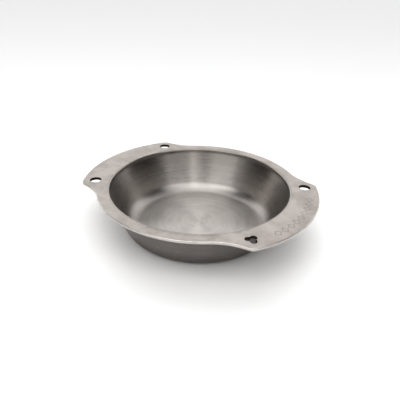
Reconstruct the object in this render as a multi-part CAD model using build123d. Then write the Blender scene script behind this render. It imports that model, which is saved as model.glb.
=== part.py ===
"""Round stainless steel camp pan: a deep-drawn bowl welded into a flat, two-eared rim plate.

Frame: millimetres, +Z up, origin on the axis of the bowl at the underside of its floor.
The two ears lie along +X and -X. All the sizes that can be set by themselves come first;
everything below them is worked out from them.
"""
import os
from math import acos, atan2, cos, degrees, radians, sin, tan

from build123d import *

# Bowl
mouth_radius = 100.0        # inside of the mouth
overall_height = 52.0       # underside of the floor to the top of the rim plate
wall_thickness = 1.5
wall_lean = 21.0            # degrees from upright, opening upwards
floor_corner_radius = 15.0  # inside bend between floor and wall
shoulder_radius = 12.0      # inside bend between the leaning wall and the upright collar
mouth_edge_radius = 1.0     # rounding of the collar's inner top edge

# Rim plate
plate_thickness = 3.0
collar_gap = 0.05           # all round, between the bowl's collar and the bore of the plate
ring_width = 13.5           # from the mouth to the outer edge of the ring, between the ears
ear_reach = 18.0            # how far the ears stand out beyond the ring
ear_half_angle = 33.5       # degrees, from the middle of an ear to the centre of its corner
ear_corner_radius = 9.0
ear_blend_radius = 60.0     # hollow sweep from the ear's corner back into the ring
plate_edge_radius = 0.8     # rounding of the outer edges, top and bottom

# Holes in the ears: three round ones and one ornament
hole_radius = 6.35
hole_inset = 14.0           # from the outer edge of the ear to the centre of the hole
hole_half_angle = 32.3      # degrees, from the middle of an ear to each of its holes
lobe_radius = 3.4           # each of the ornament's three round lobes
lobe_offset = 3.3           # from the ornament's centre to the centre of a lobe
lobe_count = 3

# Weld
weld_leg = 2.5              # along the plate's underside and down the wall
weld_crown = 0.3            # how far the middle of its face bulges

# Worked out from the sizes above
ring_radius = mouth_radius + ring_width
ear_radius = ring_radius + ear_reach
hole_circle_radius = ear_radius - hole_inset
collar_radius = mouth_radius + wall_thickness
bore_radius = collar_radius + collar_gap
plate_bottom = overall_height - plate_thickness
lean = radians(wall_lean)
foot_radius = mouth_radius - (plate_bottom - wall_thickness) * tan(lean)


def polar(radius, angle):
    """Point at a radius and an angle in degrees, in the plane of the plate."""
    return (radius * cos(radians(angle)), radius * sin(radians(angle)))


def bowl_body(outset):
    """Solid of revolution under the bowl's inner surface moved outwards by outset."""
    floor = (0, wall_thickness - outset)
    foot = (foot_radius + outset * (1 / cos(lean) - tan(lean)), wall_thickness - outset)
    shoulder_drop = outset * (1 / cos(lean) - 1) / tan(lean)
    shoulder = (mouth_radius + outset, plate_bottom - shoulder_drop)
    lip = (mouth_radius + outset, overall_height)
    bends = [floor_corner_radius + outset, shoulder_radius + outset]
    side = FilletPolyline(floor, foot, shoulder, lip, radius=bends)
    closing = Polyline(lip, (0, overall_height), floor)
    return revolve(Plane.XZ * make_face(side + closing), Axis.Z)


def make_bowl():
    """Drawn shell: flat floor, leaning wall and the upright collar that the plate sits round."""
    shell = bowl_body(wall_thickness) - bowl_body(0)
    rim_edges = shell.edges().filter_by(GeomType.CIRCLE).group_by(Axis.Z)[-1]
    return fillet(rim_edges.sort_by(SortBy.RADIUS)[0], mouth_edge_radius)


def plate_outline():
    """Outer contour: two arcs for the ears, joined to the ring by a corner and a hollow sweep."""
    corner_circle = ear_radius - ear_corner_radius
    blend_circle = ring_radius + ear_blend_radius
    centres_apart = ear_corner_radius + ear_blend_radius
    cosine = (corner_circle**2 + blend_circle**2 - centres_apart**2) / (2 * corner_circle * blend_circle)
    ring_start = ear_half_angle + degrees(acos(cosine))
    corner = polar(corner_circle, ear_half_angle)
    blend = polar(blend_circle, ring_start)
    turn = degrees(atan2(blend[1] - corner[1], blend[0] - corner[0]))
    quarter = Curve() + [
        CenterArc((0, 0), ear_radius, 0, ear_half_angle),
        CenterArc(corner, ear_corner_radius, ear_half_angle, turn - ear_half_angle),
        CenterArc(blend, ear_blend_radius, turn + 180, ring_start - turn),
        CenterArc((0, 0), ring_radius, ring_start, 90 - ring_start),
    ]
    half = quarter + mirror(quarter, Plane.XZ)
    return make_face(half + mirror(half, Plane.YZ))


def ornament():
    """Three-lobed cut-out with one lobe pointing out of the ear."""
    lobes = [Pos(*polar(lobe_offset, i * 360 / lobe_count)) * Circle(lobe_radius) for i in range(lobe_count)]
    return Sketch() + lobes


def make_rim_plate():
    """Flat plate with a bore for the collar, rounded outer edges and the holes in the ears."""
    plate = extrude(plate_outline(), plate_thickness)
    plate = fillet(plate.edges().filter_by(Axis.Z, reverse=True), plate_edge_radius)
    round_hole_angles = [hole_half_angle, 180 - hole_half_angle, 180 + hole_half_angle]
    cuts = [Circle(bore_radius)]
    cuts += [Pos(*polar(hole_circle_radius, a)) * Circle(hole_radius) for a in round_hole_angles]
    cuts += [Rot(0, 0, -hole_half_angle) * Pos(hole_circle_radius, 0) * ornament()]
    plate -= extrude(Sketch() + cuts, plate_thickness)
    return Pos(0, 0, plate_bottom) * plate


def make_seam_weld():
    """Bead in the corner between the plate's underside and the wall, all the way round."""
    inner = collar_radius - weld_leg
    plate_toe = (bore_radius + weld_leg, plate_bottom)
    wall_toe = (collar_radius - weld_leg * tan(lean), plate_bottom - weld_leg)
    face = Line(plate_toe, wall_toe)
    middle = face @ 0.5 + Vector(1, -1).normalized() * weld_crown
    crown = ThreePointArc(plate_toe, middle, wall_toe)
    back = Polyline(wall_toe, (inner, plate_bottom - weld_leg), (inner, plate_bottom), plate_toe)
    ring = revolve(Plane.XZ * make_face(crown + back), Axis.Z)
    return ring - bowl_body(wall_thickness)


pieces = {
    "bowl": make_bowl(),
    "rim_plate": make_rim_plate(),
    "seam_weld": make_seam_weld(),
}
os.makedirs("parts", exist_ok=True)
for name, piece in pieces.items():
    export_step(piece, f"parts/{name}.step")
    size = piece.bounding_box().size
    print(f"{name}: {size.X:.1f} x {size.Y:.1f} x {size.Z:.1f} mm, {piece.volume / 1000:.2f} cm3")
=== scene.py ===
# %% [markdown]
# A stainless steel camp pan: a drawn bowl welded into a flat rim plate with two ears.
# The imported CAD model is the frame. It gives the places and sizes; this script gives the looks.
# The CAD nodes could stay and only take new materials. Here each is modelled again instead, with a
# finer mesh, on which reflections run smoothly and which has room for the scales of the weld.

# %% Load the frame
from math import acos, asin, atan2, cos, pi, radians, sin, tan

import bmesh
import bpy
from mathutils import Matrix, Vector


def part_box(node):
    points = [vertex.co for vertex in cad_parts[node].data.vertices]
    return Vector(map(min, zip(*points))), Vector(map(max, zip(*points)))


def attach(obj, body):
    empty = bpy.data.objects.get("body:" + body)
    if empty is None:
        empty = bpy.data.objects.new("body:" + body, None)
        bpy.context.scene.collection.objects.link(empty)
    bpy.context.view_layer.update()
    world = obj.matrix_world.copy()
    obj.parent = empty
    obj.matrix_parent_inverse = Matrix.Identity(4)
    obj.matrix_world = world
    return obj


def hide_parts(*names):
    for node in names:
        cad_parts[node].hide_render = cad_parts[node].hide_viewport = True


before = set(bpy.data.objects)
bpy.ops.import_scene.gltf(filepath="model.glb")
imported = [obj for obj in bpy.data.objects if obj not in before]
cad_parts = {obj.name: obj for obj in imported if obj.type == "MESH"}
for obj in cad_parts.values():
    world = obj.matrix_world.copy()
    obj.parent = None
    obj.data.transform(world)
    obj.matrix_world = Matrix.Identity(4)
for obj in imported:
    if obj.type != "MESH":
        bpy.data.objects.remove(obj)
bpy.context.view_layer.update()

# %% [markdown]
# The sizes come from the frame where it holds them. The boxes of the nodes give the height, the
# thickness of the plate, the reach of the ears and the outside of the collar.
# The wall, its lean and its bends aren't in any box, so they are named here, as on a drawing.

# %% Sizes, in metres
mm = 0.001
UP = Vector((0, 0, 1))
SAME_PLACE = 0.001 * mm
plate_low, plate_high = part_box("rim_plate")
bowl_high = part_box("bowl")[1]
TOP = plate_high.z
PLATE = plate_high.z - plate_low.z
PLATE_BOTTOM = TOP - PLATE
EAR_RADIUS = plate_high.x
RING_RADIUS = plate_high.y
COLLAR_RADIUS = bowl_high.x
WALL = 1.5 * mm
MOUTH_RADIUS = COLLAR_RADIUS - WALL
LEAN = radians(21)
FLOOR_BEND = 15 * mm
SHOULDER_BEND = 12 * mm
print("mouth radius", round(MOUTH_RADIUS, 4), "height", round(TOP, 4), "plate", round(PLATE, 4))

# %% [markdown]
# A pen draws outlines with bmesh operators: a line extrudes its last vertex, and an arc spins it
# about a centre. The same pen draws the section of the bowl, the weld and the contour of the plate.
# Corners could be bevelled instead, but a spin names the centre, so each bend has its true radius.


# %% The pen
def pen_down(bm, point):
    return bm.verts.new(point)


def pen_line(bm, start, end, steps=1):
    """Extrudes a vertex along a straight line in equal steps and returns the last vertex."""
    step = (Vector(end) - start.co) / steps
    for _ in range(steps):
        made = bmesh.ops.extrude_vert_indiv(bm, verts=[start])["verts"]
        bmesh.ops.translate(bm, verts=made, vec=step)
        start = made[0]
    return start


def pen_arc(bm, start, centre, angle, axis, steps):
    """Spins a vertex about a centre and returns the last vertex."""
    made = bmesh.ops.spin(bm, geom=[start], cent=centre, axis=axis, angle=angle, steps=steps)
    return next(g for g in made["geom_last"] if isinstance(g, bmesh.types.BMVert))


# %% [markdown]
# The bowl and the weld are round pieces, made like turned work from a drawn section. A Screw
# modifier could turn them, but an operator leaves a finished mesh. One full spin merges its ends,
# and vertices that fall together, as those on the axis do, are merged after it.


# %% Turning a section, and writing a piece
def turn_section(bm, steps):
    """Spins the drawn section all the way round the upright axis."""
    bmesh.ops.spin(bm, geom=bm.verts[:] + bm.edges[:], cent=(0, 0, 0), axis=UP, angle=2 * pi,
                   steps=steps, use_merge=True)
    bmesh.ops.remove_doubles(bm, verts=bm.verts, dist=SAME_PLACE)


def to_object(bm, name, materials, smooth=True):
    """Writes a bmesh to a new object at the origin."""
    mesh = bpy.data.meshes.new(name)
    bm.to_mesh(mesh)
    bm.free()
    for material in materials:
        mesh.materials.append(material)
    mesh.polygons.foreach_set("use_smooth", [smooth] * len(mesh.polygons))
    piece = bpy.data.objects.new(name, mesh)
    bpy.context.scene.collection.objects.link(piece)
    print(name, len(mesh.vertices), "vertices", len(mesh.polygons), "faces")
    return piece


# %% [markdown]
# A material is a small node tree. It could be wired line by line, but that is long to read. This
# builder keeps the calls short: each method adds one node and hands back its output socket.


# %% The material builder
class Nodes:
    def __init__(self, name, base_color, roughness, metallic=1.0):
        self.material = bpy.data.materials.new(name)
        self.material.use_nodes = True
        self.tree = self.material.node_tree
        self.tree.nodes.clear()
        self.output = self.tree.nodes.new("ShaderNodeOutputMaterial")
        self.shader = self.tree.nodes.new("ShaderNodeBsdfPrincipled")
        self.shader.inputs["Base Color"].default_value = (*base_color, 1)
        self.shader.inputs["Roughness"].default_value = roughness
        self.shader.inputs["Metallic"].default_value = metallic
        self.wire(self.shader.outputs["BSDF"], self.output.inputs["Surface"])

    def wire(self, value, socket):
        if isinstance(value, bpy.types.NodeSocket):
            self.tree.links.new(value, socket)
        else:
            socket.default_value = value

    def add(self, kind, inputs=(), **settings):
        node = self.tree.nodes.new(kind)
        for key, value in settings.items():
            setattr(node, key, value)
        for key, value in dict(inputs).items():
            self.wire(value, node.inputs[key])
        return node

    def math(self, operation, a, b=0.0, c=0.0):
        return self.add("ShaderNodeMath", {0: a, 1: b, 2: c}, operation=operation).outputs[0]

    def noise(self, vector, scale, detail=2.0, roughness=0.5):
        inputs = {"Vector": vector, "Scale": scale, "Detail": detail, "Roughness": roughness}
        return self.add("ShaderNodeTexNoise", inputs).outputs["Fac"]

    def spread(self, value, low, high, new_low, new_high):
        """Maps the range from low to high onto new_low to new_high, and stops at the ends."""
        inputs = {0: value, 1: low, 2: high, 3: new_low, 4: new_high}
        return self.add("ShaderNodeMapRange", inputs).outputs[0]

    def position(self):
        return self.add("ShaderNodeTexCoord").outputs["Object"]

    def colour(self, value, stops):
        """Colour ramp with one stop for each pair of a place and a colour."""
        node = self.add("ShaderNodeValToRGB", {"Fac": value})
        ramp = node.color_ramp
        while len(ramp.elements) < len(stops):
            ramp.elements.new(0.5)
        for element, (place, rgb) in zip(ramp.elements, stops):
            element.position = place
            element.color = (*rgb, 1)
        return node.outputs["Color"]

    def blend(self, share, first, second):
        """Colour that goes from first to second as share goes from nought to one."""
        node = self.add("ShaderNodeMix", data_type="RGBA")
        for place, value in ((0, share), (6, first), (7, (*second, 1))):
            self.wire(value, node.inputs[place])
        return node.outputs[2]

    def bump(self, height, distance, strength=1.0, normal=None):
        inputs = {"Height": height, "Distance": distance, "Strength": strength}
        if normal is not None:
            inputs["Normal"] = normal
        return self.add("ShaderNodeBump", inputs).outputs["Normal"]

    def set(self, **sockets):
        for key, value in sockets.items():
            self.wire(value, self.shader.inputs[key.replace("_", " ")])
        return self.material


# %% [markdown]
# The bowl was drawn and then brushed while it turned, so its fine scratches run round the axis.
# Real scratches would take millions of faces. Noise does for their pattern: it is read round the
# axis, slowly along the scratches and quickly across them, which draws its cells out into rings.


# %% Coordinates round the axis
def from_axis(n):
    """Object coordinates x, y and z, and the distance from the upright axis."""
    x, y, z = n.add("ShaderNodeSeparateXYZ", {0: n.position()}).outputs
    radius = n.math("SQRT", n.math("ADD", n.math("MULTIPLY", x, x), n.math("MULTIPLY", y, y)))
    return x, y, z, radius


def rings(n, east, north, along, turns, fineness):
    """Vector for noise that is drawn out into rings: few cells round the axis, many across."""
    parts = {0: n.math("MULTIPLY", east, turns), 1: n.math("MULTIPLY", north, turns)}
    parts[2] = n.math("MULTIPLY", along, fineness)
    return n.add("ShaderNodeCombineXYZ", parts).outputs[0]


# %% [markdown]
# Handling leaves loose scratches that cross the brushing. They could be painted on an image, but
# noise needs no unwrapping. Squeezed to long thin cells and cut off high, it gives short bright
# lines, here in two directions, and a slow noise thins them out.

# %% Loose scratches
# The colour of the loose scratches, and on the bowl's lip the colour of a painted highlight.
SCRATCH_AND_HIGHLIGHT = (0.66, 0.64, 0.62)
SCRATCH_LENGTHWISE = 14.0
SCRATCH_SETS = ((0.6, 700.0), (-0.9, 1100.0))


def scratches(n):
    """One where a loose scratch is, nought elsewhere."""
    marks = []
    for turn, across in SCRATCH_SETS:
        slant = {0: n.position(), "Rotation": (turn, turn * 0.7, turn)}
        squeeze = {0: n.add("ShaderNodeMapping", slant).outputs[0], 1: (SCRATCH_LENGTHWISE, across, across)}
        cells = n.add("ShaderNodeVectorMath", squeeze, operation="MULTIPLY").outputs[0]
        marks.append(n.spread(n.noise(cells, 1.0, 1.0, 0.4), 0.7, 0.78, 0.0, 1.0))
    patch = n.spread(n.noise(n.position(), 22.0, 2.0, 0.5), 0.42, 0.62, 0.0, 1.0)
    return n.math("MULTIPLY", n.math("MAXIMUM", *marks), patch)


# %% [markdown]
# Brushed steel stretches every reflection across its scratches, into upright streaks on the wall
# and a bow of light on the floor. Blurring all ways would lose them, so the shader is anisotropic,
# with its tangent taken round the axis. The wall is painted darker towards the mouth, a painted
# shade, the outside is painted darker low down, also painted shade, and the lip is painted a little
# brighter, a painted highlight.

# %% Brushed steel of the bowl
# Colours of painted shade: towards the mouth, and low down on the outside.
MOUTH_SHADE = (0.2, 0.18, 0.165)
LOW_SHADE_COLOUR = (0.1, 0.088, 0.08)
BRUSH_FINENESS = 9000.0
RING_FINENESS = 200.0
ANISOTROPY = 0.82
QUARTER_TURN = 0.25


def brushed_steel(name, dark, pale, smooth, rough, scuffs, low_shade_strength):
    """Steel brushed while turning; scuffs sets the scratches, the last argument the painted shade low down.
    """
    n = Nodes(name, pale, rough)
    x, y, z, radius = from_axis(n)
    safe = n.math("MAXIMUM", radius, 1e-5)
    east = n.math("DIVIDE", x, safe)
    north = n.math("DIVIDE", y, safe)
    around = n.add("ShaderNodeCombineXYZ", {0: n.math("MULTIPLY", north, -1.0), 1: east, 2: 0.0})
    along = n.math("ADD", radius, z)
    fine = n.noise(rings(n, east, north, along, 3.0, BRUSH_FINENESS), 1.0, 2.0, 0.6)
    broad = n.noise(rings(n, east, north, along, 1.3, RING_FINENESS), 1.0, 3.0, 0.5)
    cloud = n.noise(n.position(), 28.0, 4.0, 0.6)
    tone = n.math("ADD", n.math("MULTIPLY", broad, 0.45), n.math("MULTIPLY", cloud, 0.55))
    colour = n.colour(tone, [(0.36, dark), (0.64, pale)])
    # Painted shade: the wall darker towards the mouth.
    mouth_shade = n.spread(n.math("MULTIPLY_ADD", cloud, 8 * mm, z), TOP - 36 * mm, TOP - 2 * mm, 0.0, 0.62)
    # Painted shade: the outside darker low down, as strong as the last argument.
    low_shade = n.spread(n.math("MULTIPLY_ADD", cloud, 10 * mm, z), 5 * mm, 30 * mm, low_shade_strength, 0.0)
    colour = n.blend(low_shade, n.blend(mouth_shade, colour, MOUTH_SHADE), LOW_SHADE_COLOUR)
    scratch = scratches(n)
    # Painted highlight: the lip a little brighter, added to the real scratches.
    lip_highlight = n.spread(z, TOP - 2.0 * mm, TOP - 0.4 * mm, 0.0, 1.0)
    wear_and_lip_highlight = n.math("MULTIPLY_ADD", scratch, scuffs, n.math("MULTIPLY", lip_highlight, 0.08))
    colour = n.blend(wear_and_lip_highlight, colour, SCRATCH_AND_HIGHLIGHT)
    brushed = n.spread(fine, 0.35, 0.65, smooth, rough)
    brushed = n.math("ADD", brushed, n.spread(cloud, 0.3, 0.7, -0.04, 0.04))
    brushed = n.math("ADD", brushed, n.spread(z, 4 * mm, 16 * mm, 0.08, 0.0))
    brushed = n.math("MULTIPLY_ADD", wear_and_lip_highlight, -0.12, brushed)
    normal = n.bump(n.math("MULTIPLY_ADD", scratch, -0.5, fine), 0.002 * mm, 0.2)
    n.shader.inputs["Anisotropic"].default_value = ANISOTROPY
    n.shader.inputs["Anisotropic Rotation"].default_value = QUARTER_TURN
    return n.set(Base_Color=colour, Roughness=brushed, Normal=normal, Tangent=around.outputs[0])


def inside_steel():
    return brushed_steel("brushed_steel", (0.43, 0.408, 0.391), (0.52, 0.497, 0.478), 0.24, 0.4, 0.12, 0.0)


# The outside's darker colours, and its darkening low down, are painted shade.
def shaded_outside_steel():
    return brushed_steel("shaded_outside_steel", (0.27, 0.252, 0.244), (0.33, 0.31, 0.3), 0.26, 0.4, 0.35, 0.75)


# %% [markdown]
# The bowl was pressed from sheet, so its two sides run side by side, one wall apart. Solidify could
# thicken a single surface, but the lip has its own shape inside and outside. So the section is
# drawn twice from the axis to the mouth, the second time moved outwards by the wall.

# %% The section of the bowl
FLOOR_STEPS = 34
BEND_STEPS = 24
WALL_STEPS = 18
SHOULDER_STEPS = 8


def bowl_profile(bm, outset):
    """Draws floor, bend, wall and shoulder moved outwards by outset; returns the last vertex."""
    floor_z = WALL - outset
    foot = MOUTH_RADIUS - (PLATE_BOTTOM - WALL) * tan(LEAN) + outset * (1 / cos(LEAN) - tan(LEAN))
    side = MOUTH_RADIUS + outset
    shoulder_z = PLATE_BOTTOM - outset * (1 / cos(LEAN) - 1) / tan(LEAN)
    floor_arc = FLOOR_BEND + outset
    shoulder_arc = SHOULDER_BEND + outset
    floor_end = foot - floor_arc * tan((pi / 2 - LEAN) / 2)
    shoulder_cut = shoulder_arc * tan(LEAN / 2)
    slope = Vector((sin(LEAN), 0, cos(LEAN)))
    axis = Vector((0, -1, 0))
    v = pen_down(bm, (0, 0, floor_z))
    v = pen_line(bm, v, (floor_end, 0, floor_z), FLOOR_STEPS)
    v = pen_arc(bm, v, (floor_end, 0, floor_z + floor_arc), pi / 2 - LEAN, axis, BEND_STEPS)
    v = pen_line(bm, v, Vector((side, 0, shoulder_z)) - slope * shoulder_cut, WALL_STEPS)
    return pen_arc(bm, v, (side - shoulder_arc, 0, shoulder_z + shoulder_cut), LEAN, axis, SHOULDER_STEPS)


# %% [markdown]
# The lip is rounded inside, where a cloth or a spoon goes over it, and only dulled outside, where
# the plate comes up to it. A line over the top joins the two drawn sections. One steel could serve
# the whole bowl, but the outside is a little rougher, more scratched and painted darker, a painted
# shade, so faces that look outwards or down take another.

# %% The bowl
LIP_ROUND = 1.0 * mm
LIP_DULL = 0.25 * mm
TURN_STEPS = 256
LOOKS_OUT = 0.5
LOOKS_DOWN = -0.3


def make_bowl():
    bm = bmesh.new()
    inner = bowl_profile(bm, 0)
    outer = bowl_profile(bm, WALL)
    inner = pen_line(bm, inner, (MOUTH_RADIUS, 0, TOP - LIP_ROUND), 2)
    inner = pen_arc(bm, inner, (MOUTH_RADIUS + LIP_ROUND, 0, TOP - LIP_ROUND), pi / 2, (0, 1, 0), 6)
    outer = pen_line(bm, outer, (COLLAR_RADIUS, 0, TOP - LIP_DULL), 2)
    outer = pen_arc(bm, outer, (COLLAR_RADIUS - LIP_DULL, 0, TOP - LIP_DULL), pi / 2, (0, -1, 0), 3)
    bmesh.ops.contextual_create(bm, geom=[inner, outer])
    turn_section(bm, TURN_STEPS)
    bmesh.ops.recalc_face_normals(bm, faces=bm.faces)
    for face in bm.faces:
        away = face.normal.dot(Vector((*face.calc_center_median().xy, 0)).normalized())
        face.material_index = int(away > LOOKS_OUT or face.normal.z < LOOKS_DOWN)
    return to_object(bm, "pan_bowl", [inside_steel(), shaded_outside_steel()])


bowl = make_bowl()
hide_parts("bowl")
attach(bowl, "root")

# %% [markdown]
# One ear carries a faint etched border, a chain of hollow diamonds. Cut into the mesh it would need
# thousands of faces for a mark a few hundredths of a millimetre deep. It is drawn in the material
# instead: the angle round the axis is cut into cells, and each cell holds one diamond.

# %% The etched border
BORDER_RADIUS = 121 * mm
BORDER_HEIGHT = 9 * mm
BORDER_PITCH = 10 * mm
BORDER_SPAN = radians(21.3)
BORDER_FADE = 0.004
DIAMOND_HALF = 0.4
LINE_FULL = 0.05
LINE_GONE = 0.1


def etched_border(n):
    """One on the lines of a chain of hollow diamonds round one ear, nought elsewhere."""
    x, y, z, radius = from_axis(n)
    angle = n.math("ARCTAN2", y, x)
    cell = n.math("FRACT", n.math("MULTIPLY_ADD", angle, BORDER_RADIUS / BORDER_PITCH, 0.5))
    sideways = n.math("ABSOLUTE", n.math("SUBTRACT", cell, 0.5))
    off_middle = n.math("ABSOLUTE", n.math("SUBTRACT", radius, BORDER_RADIUS))
    upwards = n.math("DIVIDE", off_middle, BORDER_HEIGHT)
    off_line = n.math("ABSOLUTE", n.math("SUBTRACT", n.math("ADD", sideways, upwards), DIAMOND_HALF))
    line = n.spread(off_line, LINE_FULL, LINE_GONE, 1.0, 0.0)
    inside = n.spread(n.math("ABSOLUTE", angle), BORDER_SPAN, BORDER_SPAN + BORDER_FADE, 1.0, 0.0)
    upper = n.math("GREATER_THAN", z, TOP - 0.2 * mm)
    return n.math("MULTIPLY", n.math("MULTIPLY", line, inside), upper)


# %% [markdown]
# The rim plate was cut from flat stock and blasted to an even matt grey. A single colour would look
# like paint, so a slow noise clouds it and a fine one gives the grain of the blasting, in roughness
# and in bump. Under the plate, next to the weld, a straw tint fades outwards.

# %% The matt steel of the rim
STRAW = (0.5, 0.36, 0.2)
ETCHED = (0.2, 0.185, 0.175)


def matt_steel():
    n = Nodes("matt_steel", (0.5, 0.47, 0.45), 0.42)
    grain = n.noise(n.position(), 1100.0, 3.0, 0.6)
    cloud = n.noise(n.position(), 42.0, 5.0, 0.65)
    colour = n.colour(cloud, [(0.38, (0.305, 0.28, 0.26)), (0.62, (0.405, 0.376, 0.355))])
    colour = n.blend(n.math("MULTIPLY", scratches(n), 0.3), colour, SCRATCH_AND_HIGHLIGHT)
    etched = etched_border(n)
    colour = n.blend(n.math("MULTIPLY", etched, 0.6), colour, ETCHED)
    x, y, z, radius = from_axis(n)
    near = n.spread(n.math("MULTIPLY_ADD", cloud, 6 * mm, radius), 106 * mm, 113 * mm, 1.0, 0.0)
    under = n.spread(z, PLATE_BOTTOM + 0.1 * mm, PLATE_BOTTOM + 0.3 * mm, 0.75, 0.0)
    colour = n.blend(n.math("MULTIPLY", near, under), colour, STRAW)
    rough = n.spread(cloud, 0.3, 0.7, 0.36, 0.46)
    rough = n.math("ADD", rough, n.spread(grain, 0.3, 0.7, -0.04, 0.04))
    normal = n.bump(grain, 0.04 * mm, 0.5)
    normal = n.bump(n.math("MULTIPLY", etched, -1.0), 0.06 * mm, 1.0, normal)
    return n.set(Base_Color=colour, Roughness=rough, Normal=normal)


# %% [markdown]
# The plate's outer edge is painted brighter, a painted highlight, and the walls of its holes are
# painted near black, a painted shade. Both could be masks inside the matt steel. They are materials
# of their own instead, because the faces they belong to are easy to tell by where they lie.


# %% The rubbed edge and the cut walls
def highlit_edge_steel():
    """The rounded outer edge, smoother and painted brighter as a painted highlight, with nicks."""
    n = Nodes("highlit_edge_steel", (0.6, 0.575, 0.555), 0.3)
    grain = n.noise(n.position(), 500.0, 3.0, 0.6)
    nicks = n.noise(n.position(), 160.0, 4.0, 0.7)
    colour = n.colour(nicks, [(0.36, (0.52, 0.495, 0.475)), (0.6, (0.58, 0.555, 0.535))])
    rough = n.spread(nicks, 0.35, 0.65, 0.38, 0.3)
    rough = n.math("ADD", rough, n.spread(grain, 0.3, 0.7, -0.03, 0.03))
    return n.set(Base_Color=colour, Roughness=rough, Normal=n.bump(nicks, 0.02 * mm, 0.4))


def shaded_cut_steel():
    """The walls of the holes, painted near black as painted shade, with the upright marks of the cutting.
    """
    n = Nodes("shaded_cut_steel", (0.12, 0.11, 0.105), 0.6)
    upright = n.add("ShaderNodeMapping", {0: n.position(), "Scale": (1, 1, 0.1)}).outputs[0]
    grain = n.noise(upright, 2500.0)
    colour = n.colour(grain, [(0.35, (0.03, 0.027, 0.025)), (0.65, (0.08, 0.072, 0.068))])
    rough = n.spread(grain, 0.3, 0.7, 0.5, 0.7)
    return n.set(Base_Color=colour, Roughness=rough, Normal=n.bump(grain, 0.03 * mm, 0.6))


# %% [markdown]
# A quarter of the plate's contour is four arcs that run smoothly into each other: the end of the
# ear, its corner, the hollow beside it, and the ring round the mouth. All four quarters could be
# drawn, but two mirrors close the contour and keep it even.

# %% The contour of the plate
EAR_ANGLE = radians(33.5)
CORNER = 9 * mm
BLEND = 60 * mm
EAR_STEPS = 40
CORNER_STEPS = 24
BLEND_STEPS = 30
RING_STEPS = 36


def polar(radius, angle, z=0.0):
    return Vector((radius * cos(angle), radius * sin(angle), z))


def contour(bm, z):
    """Closed outer contour of the plate at height z."""
    corner_circle = EAR_RADIUS - CORNER
    blend_circle = RING_RADIUS + BLEND
    cosine = corner_circle**2 + blend_circle**2 - (CORNER + BLEND)**2
    ring_start = EAR_ANGLE + acos(cosine / (2 * corner_circle * blend_circle))
    corner = polar(corner_circle, EAR_ANGLE, z)
    blend = polar(blend_circle, ring_start, z)
    turn = atan2(blend.y - corner.y, blend.x - corner.x)
    v = pen_down(bm, polar(EAR_RADIUS, 0, z))
    v = pen_arc(bm, v, (0, 0, z), EAR_ANGLE, UP, EAR_STEPS)
    v = pen_arc(bm, v, corner, turn - EAR_ANGLE, UP, CORNER_STEPS)
    v = pen_arc(bm, v, blend, ring_start - turn, UP, BLEND_STEPS)
    pen_arc(bm, v, (0, 0, z), pi / 2 - ring_start, UP, RING_STEPS)
    for axis in "XY":
        bmesh.ops.mirror(bm, geom=bm.verts[:] + bm.edges[:], axis=axis, merge_dist=SAME_PLACE)


# %% [markdown]
# Three of the four hole places hold a round hole for a cord or a hook, and the fourth a plain
# trefoil. Holes could be cut with booleans, but rings of edges inside the contour need none: the
# fill leaves them open. Each arc of the trefoil ends exactly where it meets the next.

# %% The holes
HOLE_RADIUS = 6.35 * mm
HOLE_CIRCLE = EAR_RADIUS - 14 * mm
HOLE_ANGLE = radians(32.3)
ROUND_HOLES = (HOLE_ANGLE, pi - HOLE_ANGLE, pi + HOLE_ANGLE)
HOLE_REACH = 7.5 * mm
RING_MARGIN = 5 * mm
LOBE_RADIUS = 3.4 * mm
LOBE_OFFSET = 3.3 * mm
TO_NEXT_LOBE = radians(150)


def round_hole(bm, place, radius, steps):
    """Closed ring of edges for a round hole."""
    v = pen_down(bm, place + Vector((radius, 0, 0)))
    bmesh.ops.spin(bm, geom=[v], cent=place, axis=UP, angle=2 * pi, steps=steps, use_merge=True)


def trefoil(bm, place, facing):
    """Three round lobes, each an arc that ends where it meets the next."""
    reach = acos(LOBE_OFFSET * sin(pi / 3) / LOBE_RADIUS)
    half = TO_NEXT_LOBE - reach
    for i in range(3):
        lobe = facing + i * 2 * pi / 3
        centre = place + polar(LOBE_OFFSET, lobe)
        v = pen_down(bm, centre + polar(LOBE_RADIUS, lobe - half))
        pen_arc(bm, v, centre, 2 * half, UP, 20)


def is_cut(place):
    """True at the bowl's opening and at the small holes, false along the outer contour."""
    flat = Vector((*place.xy, 0))
    holes = [polar(HOLE_CIRCLE, angle) for angle in (*ROUND_HOLES, -HOLE_ANGLE)]
    at_hole = min((flat - hole).length for hole in holes) < HOLE_REACH
    return flat.length < RING_RADIUS - RING_MARGIN or at_hole


# %% [markdown]
# The outline is filled flat, extruded to the thickness of the stock and bevelled along its outer
# edge. The fill makes long thin triangles, and smooth shading would bend the light on them. Flat
# shading would facet the edge, so a Weighted Normal modifier lets the large faces rule the normals.

# %% The rim plate
MOUTH_GAP = 0.05 * mm
EDGE_ROUND = 0.8 * mm
SHARP = 1
LIES_FLAT = 0.99


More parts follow.
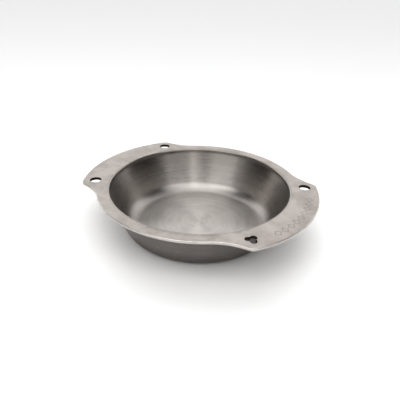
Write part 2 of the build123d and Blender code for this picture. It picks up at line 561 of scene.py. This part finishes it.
def make_rim_plate():
    bm = bmesh.new()
    contour(bm, PLATE_BOTTOM)
    round_hole(bm, UP * PLATE_BOTTOM, COLLAR_RADIUS + MOUTH_GAP, TURN_STEPS)
    for angle in ROUND_HOLES:
        round_hole(bm, polar(HOLE_CIRCLE, angle, PLATE_BOTTOM), HOLE_RADIUS, 48)
    trefoil(bm, polar(HOLE_CIRCLE, -HOLE_ANGLE, PLATE_BOTTOM), -HOLE_ANGLE)
    bmesh.ops.remove_doubles(bm, verts=bm.verts, dist=0.02 * mm)
    bmesh.ops.triangle_fill(bm, use_beauty=True, use_dissolve=False, edges=bm.edges[:])
    made = bmesh.ops.extrude_face_region(bm, geom=bm.faces[:])["geom"]
    upper = [g for g in made if isinstance(g, bmesh.types.BMVert)]
    bmesh.ops.translate(bm, verts=upper, vec=UP * PLATE)
    bmesh.ops.recalc_face_normals(bm, faces=bm.faces)
    outside = [e for e in bm.edges if e.calc_face_angle(0) > SHARP and not is_cut(e.verts[0].co)]
    print("plate edges to round", len(outside))
    bmesh.ops.bevel(bm, geom=outside, offset=EDGE_ROUND, offset_type="OFFSET", affect="EDGES",
                    segments=6, profile=0.5, material=-1)
    bm.normal_update()
    for face in bm.faces:
        wall = 2 if is_cut(face.calc_center_median()) else 1
        face.material_index = 0 if abs(face.normal.z) > LIES_FLAT else wall
    return to_object(bm, "rim_plate_steel", [matt_steel(), highlit_edge_steel(), shaded_cut_steel()])


rim = make_rim_plate()
even = rim.modifiers.new("flat_faces_stay_flat", "WEIGHTED_NORMAL")
even.keep_sharp = True
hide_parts("rim_plate")
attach(rim, "root")

# %% [markdown]
# A filler weld runs once round the collar under the plate and joins the two. Heat leaves tints on
# it, from blue to straw to bare steel. They could be painted by hand; here a slow noise runs
# through a colour ramp, so neighbouring patches always have neighbouring tints.


# %% The steel of the weld
def weld_steel():
    n = Nodes("weld_steel", (0.5, 0.46, 0.42), 0.35)
    patch = n.noise(n.position(), 60.0, 4.0, 0.6)
    grain = n.noise(n.position(), 1500.0, 2.0, 0.5)
    tints = [(0.3, (0.3, 0.32, 0.4)), (0.42, (0.42, 0.36, 0.36)), (0.52, (0.55, 0.42, 0.26)),
             (0.66, (0.56, 0.53, 0.5))]
    colour = n.colour(patch, tints)
    rough = n.spread(patch, 0.3, 0.7, 0.3, 0.44)
    rough = n.math("ADD", rough, n.spread(grain, 0.3, 0.7, -0.03, 0.03))
    return n.set(Base_Color=colour, Roughness=rough, Normal=n.bump(grain, 0.03 * mm, 0.5))


# %% [markdown]
# Each dip of the filler leaves a low scale in the bead. Scales could be copies of one small shape,
# but a wave along one turned bead gives them without seams. The section is two straight sides and a
# bulging arc. Its root and toe are sunk into the bowl's wall, so that no gap shows where they meet.

# %% The seam weld
weld_low, weld_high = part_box("seam_weld")
WELD_SCALES = 300
STEPS_PER_SCALE = 4
SCALE_HEIGHT = 0.06 * mm
SCALE_LEAN = 1.2
SCALES_START = 0.02 * mm
WELD_CROWN = 0.25 * mm
ROOT_SUNK = 0.4 * mm
TOE_SUNK = 0.95 * mm


def raise_scales(bm, toe, outward):
    """Moves the bulging side of the bead in and out in a small wave along its length."""
    for v in bm.verts:
        proud = (Vector((Vector(v.co.xy).length, 0, v.co.z)) - toe).dot(outward)
        if proud > SCALES_START:
            angle = atan2(v.co.y, v.co.x)
            lift = SCALE_HEIGHT * sin(WELD_SCALES * angle + SCALE_LEAN * proud / WELD_CROWN)
            v.co += (polar(outward.x, angle) + UP * outward.z) * lift


def make_seam_weld():
    bm = bmesh.new()
    root = Vector((COLLAR_RADIUS - ROOT_SUNK, 0, PLATE_BOTTOM))
    toe = Vector((COLLAR_RADIUS - TOE_SUNK, 0, weld_low.z))
    tip = Vector((weld_high.x, 0, PLATE_BOTTOM))
    chord = tip - toe
    outward = Vector((chord.z, 0, -chord.x)).normalized()
    half_chord = chord.length / 2
    bulge = (half_chord**2 + WELD_CROWN**2) / (2 * WELD_CROWN)
    centre = toe + chord / 2 - outward * (bulge - WELD_CROWN)
    first = pen_down(bm, toe)
    last = pen_arc(bm, first, centre, 2 * asin(half_chord / bulge), (0, -1, 0), 6)
    last = pen_line(bm, last, root)
    bmesh.ops.contextual_create(bm, geom=[last, first])
    turn_section(bm, WELD_SCALES * STEPS_PER_SCALE)
    raise_scales(bm, toe, outward)
    bmesh.ops.recalc_face_normals(bm, faces=bm.faces)
    return to_object(bm, "seam_weld_bead", [weld_steel()])


weld = make_seam_weld()
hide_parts("seam_weld")
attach(weld, "root")

# %% [markdown]
# The pan stands on a wide white table, which is only staging. A table exactly at the pan's base
# would share its plane, and a ray could meet either of them first, so the table is a hair lower.

# %% The table
TABLE_RADIUS = 12.0
TABLE_DROP = 0.1 * mm


def make_floor():
    bm = bmesh.new()
    bmesh.ops.create_circle(bm, cap_ends=True, segments=96, radius=TABLE_RADIUS)
    bmesh.ops.translate(bm, verts=bm.verts, vec=UP * -TABLE_DROP)
    n = Nodes("table_white", (0.9, 0.9, 0.9), 0.6, 0.0)
    floor = to_object(bm, "table", [n.material], False)


make_floor()

# %% [markdown]
# Steel shows only what is round it, so the light is a place as much as a lamp. A soft white tent
# stands behind and above the pan. It is open towards the near side and a darker room, whose pale
# and dark uprights are the streaks on the wall. The room could be built of lamps and screens, but
# one shader on the world does it: a ramp gives each bearing its level, counted in degrees from the
# near side and positive to the camera's right. The camera itself sees a plain backdrop instead.

# %% The light tent
AZIMUTH = radians(33.2)
toward = Vector((sin(AZIMUTH), -cos(AZIMUTH), 0))
right = Vector((cos(AZIMUTH), sin(AZIMUTH), 0))
OPENING_TOP = (0.86, 0.98)
OPENING_SIDE = (-0.44, -0.24)
TENT = 1.15
BACKDROP = 0.75
ROOM = [(-90, 0.02), (-75, 0.2), (-60, 0.45), (-40, 0.4), (-18, 0.42), (-12, 0.04), (-4, 0.04),
        (4, 0.3), (9, 0.75), (13, 0.75), (17, 0.1), (26, 0.02), (60, 0.08), (78, 0.02)]


def make_world():
    """White tent behind and above, open to a darker room on the near side."""
    world = bpy.data.worlds.new("light_tent")
    bpy.context.scene.world = world
    world.use_nodes = True
    tree = world.node_tree
    tree.nodes.clear()

    def add(kind, inputs, **settings):
        node = tree.nodes.new(kind)
        for key, value in settings.items():
            setattr(node, key, value)
        for key, value in inputs.items():
            if isinstance(value, bpy.types.NodeSocket):
                tree.links.new(value, node.inputs[key])
            else:
                node.inputs[key].default_value = value
        return node

    def step(value, low, high, start, end):
        node = add("ShaderNodeMapRange", {0: value, 1: low, 2: high, 3: start, 4: end})
        node.interpolation_type = "SMOOTHSTEP"
        return node.outputs[0]

    def math(operation, a, b=0.0, c=0.0):
        return add("ShaderNodeMath", {0: a, 1: b, 2: c}, operation=operation).outputs[0]

    def share_along(direction):
        inputs = {0: view, 1: direction}
        return add("ShaderNodeVectorMath", inputs, operation="DOT_PRODUCT").outputs["Value"]

    view = tree.nodes.new("ShaderNodeTexCoord").outputs["Generated"]
    to_camera = share_along(toward)
    to_right = share_along(right)
    height = add("ShaderNodeSeparateXYZ", {0: view}).outputs["Z"]
    below_top = step(height, *OPENING_TOP, 1.0, 0.0)
    opening = math("MULTIPLY", below_top, step(to_camera, *OPENING_SIDE, 0.0, 1.0))
    bearing = math("MULTIPLY_ADD", math("ARCTAN2", to_right, to_camera), 1 / pi, 0.5)
    ramp = add("ShaderNodeValToRGB", {0: bearing})
    elements = ramp.color_ramp.elements
    while len(elements) < len(ROOM):
        elements.new(0.5)
    for element, (degree, level) in zip(elements, ROOM):
        element.position = degree / 180 + 0.5
        element.color = (level, level, level, 1)
    light = add("ShaderNodeMix", {"Factor": opening, "A": TENT, "B": ramp.outputs["Color"]}).outputs[0]
    seen = tree.nodes.new("ShaderNodeLightPath").outputs["Is Camera Ray"]
    plain = add("ShaderNodeMix", {"Factor": seen, "A": light, "B": BACKDROP}).outputs[0]
    background = add("ShaderNodeBackground", {"Color": plain})
    add("ShaderNodeOutputWorld", {"Surface": background.outputs[0]})
    print("light tent with", len(ROOM), "levels in its room")


make_world()

# %% [markdown]
# One wide softbox hangs high on the near side, and the bend between floor and wall mirrors it as a
# bright band. A small lamp would do, but it would light the bend in a thin, glaring line.

# %% The softbox
KEY_PLACE = toward * 0.84 + UP * 0.992
KEY_WIDTH = 3.0
KEY_HEIGHT = 1.2
KEY_POWER = 14


def make_softbox():
    light = bpy.data.lights.new("key", "AREA")
    light.shape = "RECTANGLE"
    light.size = KEY_WIDTH
    light.size_y = KEY_HEIGHT
    light.energy = KEY_POWER
    lamp = bpy.data.objects.new("key", light)
    bpy.context.scene.collection.objects.link(lamp)
    lamp.location = KEY_PLACE
    lamp.rotation_euler = (-KEY_PLACE).to_track_quat("-Z", "Y").to_euler()
    lamp.visible_camera = False
    print("softbox at", [round(v, 3) for v in KEY_PLACE])


make_softbox()

# %% [markdown]
# The camera looks down by about a third of a right angle and is rolled a little. A Track To
# constraint could aim it, but it would lose the roll and the framing. So its place is counted back
# along the line of sight from the middle of the mouth, then moved down to set the pan high in view.

# %% The camera
ELEVATION = radians(29.43)
ROLL = radians(1.75)
LENS = 37.8
SENSOR = 36.0
DISTANCE = 472.5 * mm
ASIDE = 0.27 * mm
DOWN = 18.35 * mm


def make_camera():
    forward = -toward * cos(ELEVATION) - UP * sin(ELEVATION)
    level_up = UP * cos(ELEVATION) - toward * sin(ELEVATION)
    x_axis = right * cos(ROLL) + level_up * sin(ROLL)
    y_axis = level_up * cos(ROLL) - right * sin(ROLL)
    data = bpy.data.cameras.new("camera")
    data.lens = LENS
    data.sensor_width = SENSOR
    camera = bpy.data.objects.new("camera", data)
    bpy.context.scene.collection.objects.link(camera)
    place = UP * TOP - forward * DISTANCE + x_axis * ASIDE - y_axis * DOWN
    turn = Matrix((x_axis, y_axis, -forward)).transposed()
    camera.matrix_world = Matrix.Translation(place) @ turn.to_4x4()
    bpy.context.scene.camera = camera
    print("camera at", [round(v, 3) for v in place])


make_camera()

# %% [markdown]
# White should stay white beside bare steel. AgX, the usual transform, would soften it to grey, so
# the Standard one is used, and the High Contrast look deepens the dark streaks.

# %% The view
bpy.context.scene.view_settings.view_transform = "Standard"
bpy.context.scene.view_settings.look = "High Contrast"
